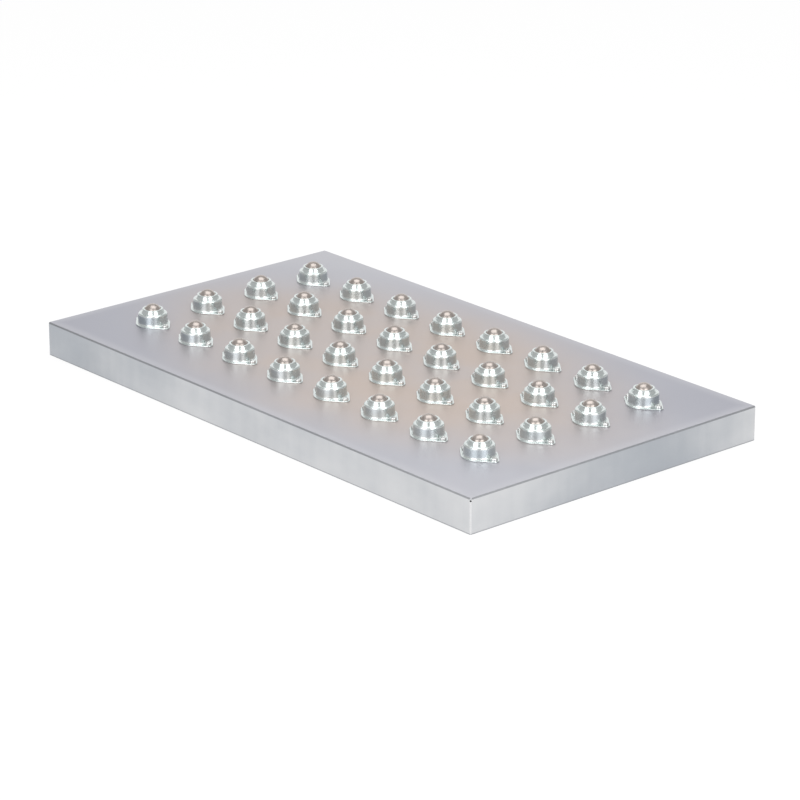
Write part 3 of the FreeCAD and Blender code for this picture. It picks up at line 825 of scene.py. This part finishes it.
class PLATFORM_OT_fill_cups(bpy.types.Operator):
    """Finish the bearing cups and fill them with small balls"""

    bl_idname = "platform.fill_cups"
    bl_label = "Fill Cups"

    def execute(self, context):
        settings = context.scene.platform
        looks = settings.finishes
        balls = settings.balls
        cup = hardened_finish(looks)
        steel = ball_finish("small_ball_steel", looks.bearing, looks.ball_gloss)
        small = ball_surface(balls.bearing_radius, balls.bearing_columns, balls.bearing_rows)
        points, faces = repeat(*small, bearing_places(balls))
        rise = np.array([0.0, 0.0, FIRST_PLACE[2] - DECK_TOP])
        for row in ROWS:
            dress_node(f"bearing_cups_row_{row}", cup)
            add_piece(f"bearing_beds_{row}", *repeat(points, faces, unit_places(row) + rise), steel,
                      slot="bearing_ball", replaced=[f"bearing_balls_row_{row}"])
        return {"FINISHED"}


class PLATFORM_OT_set_balls(bpy.types.Operator):
    """Set a polished load ball in every unit"""

    bl_idname = "platform.set_balls"
    bl_label = "Set Load Balls"

    def execute(self, context):
        settings = context.scene.platform
        balls = settings.balls
        steel = ball_finish("load_ball_steel", settings.finishes.ball, settings.finishes.ball_gloss)
        points, faces = ball_surface(balls.radius, balls.columns, balls.rows)
        for name in BALL_NAMES:
            add_piece(f"polished_{name}", points + BALL_PLACES[name], faces, steel,
                      body=name, slot="load_ball", replaced=[f"load_{name}"])
        return {"FINISHED"}


class PLATFORM_OT_drive_screws(bpy.types.Operator):
    """Drive the flange screws, each with its recess turned its own way"""

    bl_idname = "platform.drive_screws"
    bl_label = "Drive Screws"

    def execute(self, context):
        settings = context.scene.platform
        looks = settings.finishes
        darker = scaled(looks.fastener, part=0.75)
        plating = zinc_finish("fastener_zinc", looks.fastener, darker, looks.fastener_gloss)
        points, faces = screw_surface(settings.fasteners)
        draw = np.random.default_rng(settings.fasteners.turn_seed)
        for row in ROWS:
            places = screw_places(row, settings.housing)
            turns = draw.uniform(0.0, TURN, len(places))
            add_piece(f"pan_screws_{row}", *repeat(points, faces, places, turns), plating,
                      slot="zinc_fastener", replaced=[f"flange_screws_row_{row}"], sharp=40.0)
        return {"FINISHED"}


class PLATFORM_OT_set_stage(bpy.types.Operator):
    """Lay the floor, hang the lamps and set up the camera"""

    bl_idname = "platform.set_stage"
    bl_label = "Set Stage"

    def execute(self, context):
        stage = context.scene.platform.stage
        context.scene.view_settings.view_transform = "Standard"
        self.lay_floor(stage)
        self.light_world(context.scene, stage)
        above = self.bearing(stage, math.pi) * stage.top_back + Vector((0.0, 0.0, stage.top_height))
        self.hang_lamp("top_lamp", above, stage.top_size, stage.top_power)
        for name, turn in (("left_lamp", -stage.front_turn), ("right_lamp", stage.front_turn)):
            place = self.bearing(stage, turn) * stage.front_reach + Vector((0.0, 0.0, stage.front_height))
            self.hang_lamp(name, place, stage.front_size, stage.front_power)
        self.set_camera(context.scene, stage)
        return {"FINISHED"}

    def bearing(self, stage, turn):
        """Level direction from the object, turned from the camera's."""
        return Vector((math.sin(stage.azimuth + turn), -math.cos(stage.azimuth + turn), 0.0))

    def towards(self, ways, direction):
        """How far a ray goes along a level direction."""
        return ways[0] * direction.x + ways[1] * direction.y

    def lay_floor(self, stage):
        """A square floor that the tray stands on."""
        half = stage.floor_size / 2
        points = np.array([[-half, -half, 0.0], [half, -half, 0.0], [half, half, 0.0], [-half, half, 0.0]])
        floor = add_piece("floor", points, [np.array([[0, 1, 2, 3]])], floor_finish(stage), body=None)

    def light_world(self, scene, stage):
        """A white room for the camera and an even fill for matt surfaces. Metal shows a white backdrop, grey
        sides, a white front that fades a little above the floor, and a dim ceiling."""
        backdrop_edge, front_edge = (0.62, 0.90), (0.5, 0.85)
        world = bpy.data.worlds.new("studio")
        world.use_nodes = True
        world.node_tree.nodes.clear()
        start = Shade(world.node_tree)
        direct = start.add("ShaderNodeLightPath", output="Is Camera Ray")
        seen = seen_rays(start)
        ways = axis_values(start, start.add("ShaderNodeTexCoord", output="Generated"))
        rise = ways[2]
        ceiling = rise.clear(math.sin(stage.ceiling_low), math.sin(stage.ceiling_high))
        low_down = 1.0 - rise.clear(math.sin(stage.front_low), math.sin(stage.front_high))
        far = self.towards(ways, self.bearing(stage, math.pi))
        backdrop = far.clear(*backdrop_edge)
        front = (0.0 - far).clear(*front_edge) * low_down
        level = stage.side_glow + backdrop * (stage.horizon_glow - stage.side_glow)
        level = level + front * (stage.front_glow - stage.side_glow)
        mirrored = level + ceiling * (stage.ceiling_glow - level)
        strength = direct + (seen - direct) * mirrored + (1.0 - seen) * stage.sky_fill
        white = (1.0, 1.0, 1.0, 1.0)
        light = start.add("ShaderNodeBackground", inputs={"Color": white, "Strength": strength})
        start.add("ShaderNodeOutputWorld", inputs={"Surface": light})
        scene.world = world

    def hang_lamp(self, name, place, size, watts):
        """A soft lamp that faces the deck's middle and isn't seen by the camera."""
        lamp = bpy.data.lights.new(name, "AREA")
        lamp.shape = "RECTANGLE"
        lamp.size, lamp.size_y = size
        lamp.energy = watts
        hung = bpy.data.objects.new(name, lamp)
        hung.location = place
        towards = Vector((0.0, 0.0, DECK_TOP)) - place
        hung.rotation_euler = towards.to_track_quat("-Z", "Y").to_euler()
        hung.visible_camera = False
        bpy.context.scene.collection.objects.link(hung)

    def set_camera(self, scene, stage):
        """The camera at its distance from the target, turned, raised and leaned by its three angles."""
        lens = bpy.data.cameras.new("photo_camera")
        lens.lens = stage.lens
        camera = bpy.data.objects.new("photo_camera", lens)
        level = math.cos(stage.elevation)
        away = self.bearing(stage, 0.0) * level + Vector((0.0, 0.0, math.sin(stage.elevation)))
        turn = Matrix.Rotation(stage.azimuth, 4, "Z") @ Matrix.Rotation(math.pi / 2 - stage.elevation, 4, "X")
        lean = Matrix.Rotation(stage.roll, 4, "Z")
        camera.matrix_world = Matrix.Translation(Vector(stage.target) + away * stage.distance) @ turn @ lean
        scene.collection.objects.link(camera)
        scene.camera = camera


OPERATORS = (
    PLATFORM_OT_dress_tray,
    PLATFORM_OT_press_housings,
    PLATFORM_OT_fill_cups,
    PLATFORM_OT_set_balls,
    PLATFORM_OT_drive_screws,
    PLATFORM_OT_set_stage,
)


class PLATFORM_PT_sidebar(bpy.types.Panel):
    """Lists the platform's steps in the order that they are done"""

    bl_idname = "PLATFORM_PT_sidebar"
    bl_label = "Ball Transfer Platform"
    bl_space_type = "VIEW_3D"
    bl_region_type = "UI"
    bl_category = "Platform"

    def draw(self, context):
        column = self.layout.column(align=True)
        for operator in OPERATORS:
            column.operator(operator.bl_idname)


CLASSES = (
    HousingSizes, BallSizes, FastenerSizes, TraySizes, Finishes, StageSettings, PlatformSettings,
    *OPERATORS, PLATFORM_PT_sidebar,
)


def register():
    """Registers every class and puts the platform's settings on the scene."""
    for item in CLASSES:
        bpy.utils.register_class(item)
    bpy.types.Scene.platform = PointerProperty(
        name="Platform", description="Settings of the ball transfer platform", type=PlatformSettings)


def unregister():
    """Takes the settings and the classes away again."""
    del bpy.types.Scene.platform
    for item in reversed(CLASSES):
        bpy.utils.unregister_class(item)


def main():
    """Builds the platform step by step."""
    register()
    bpy.ops.platform.dress_tray()
    bpy.ops.platform.press_housings()
    bpy.ops.platform.fill_cups()
    bpy.ops.platform.set_balls()
    bpy.ops.platform.drive_screws()
    bpy.ops.platform.set_stage()


if __name__ == "__main__":
    main()
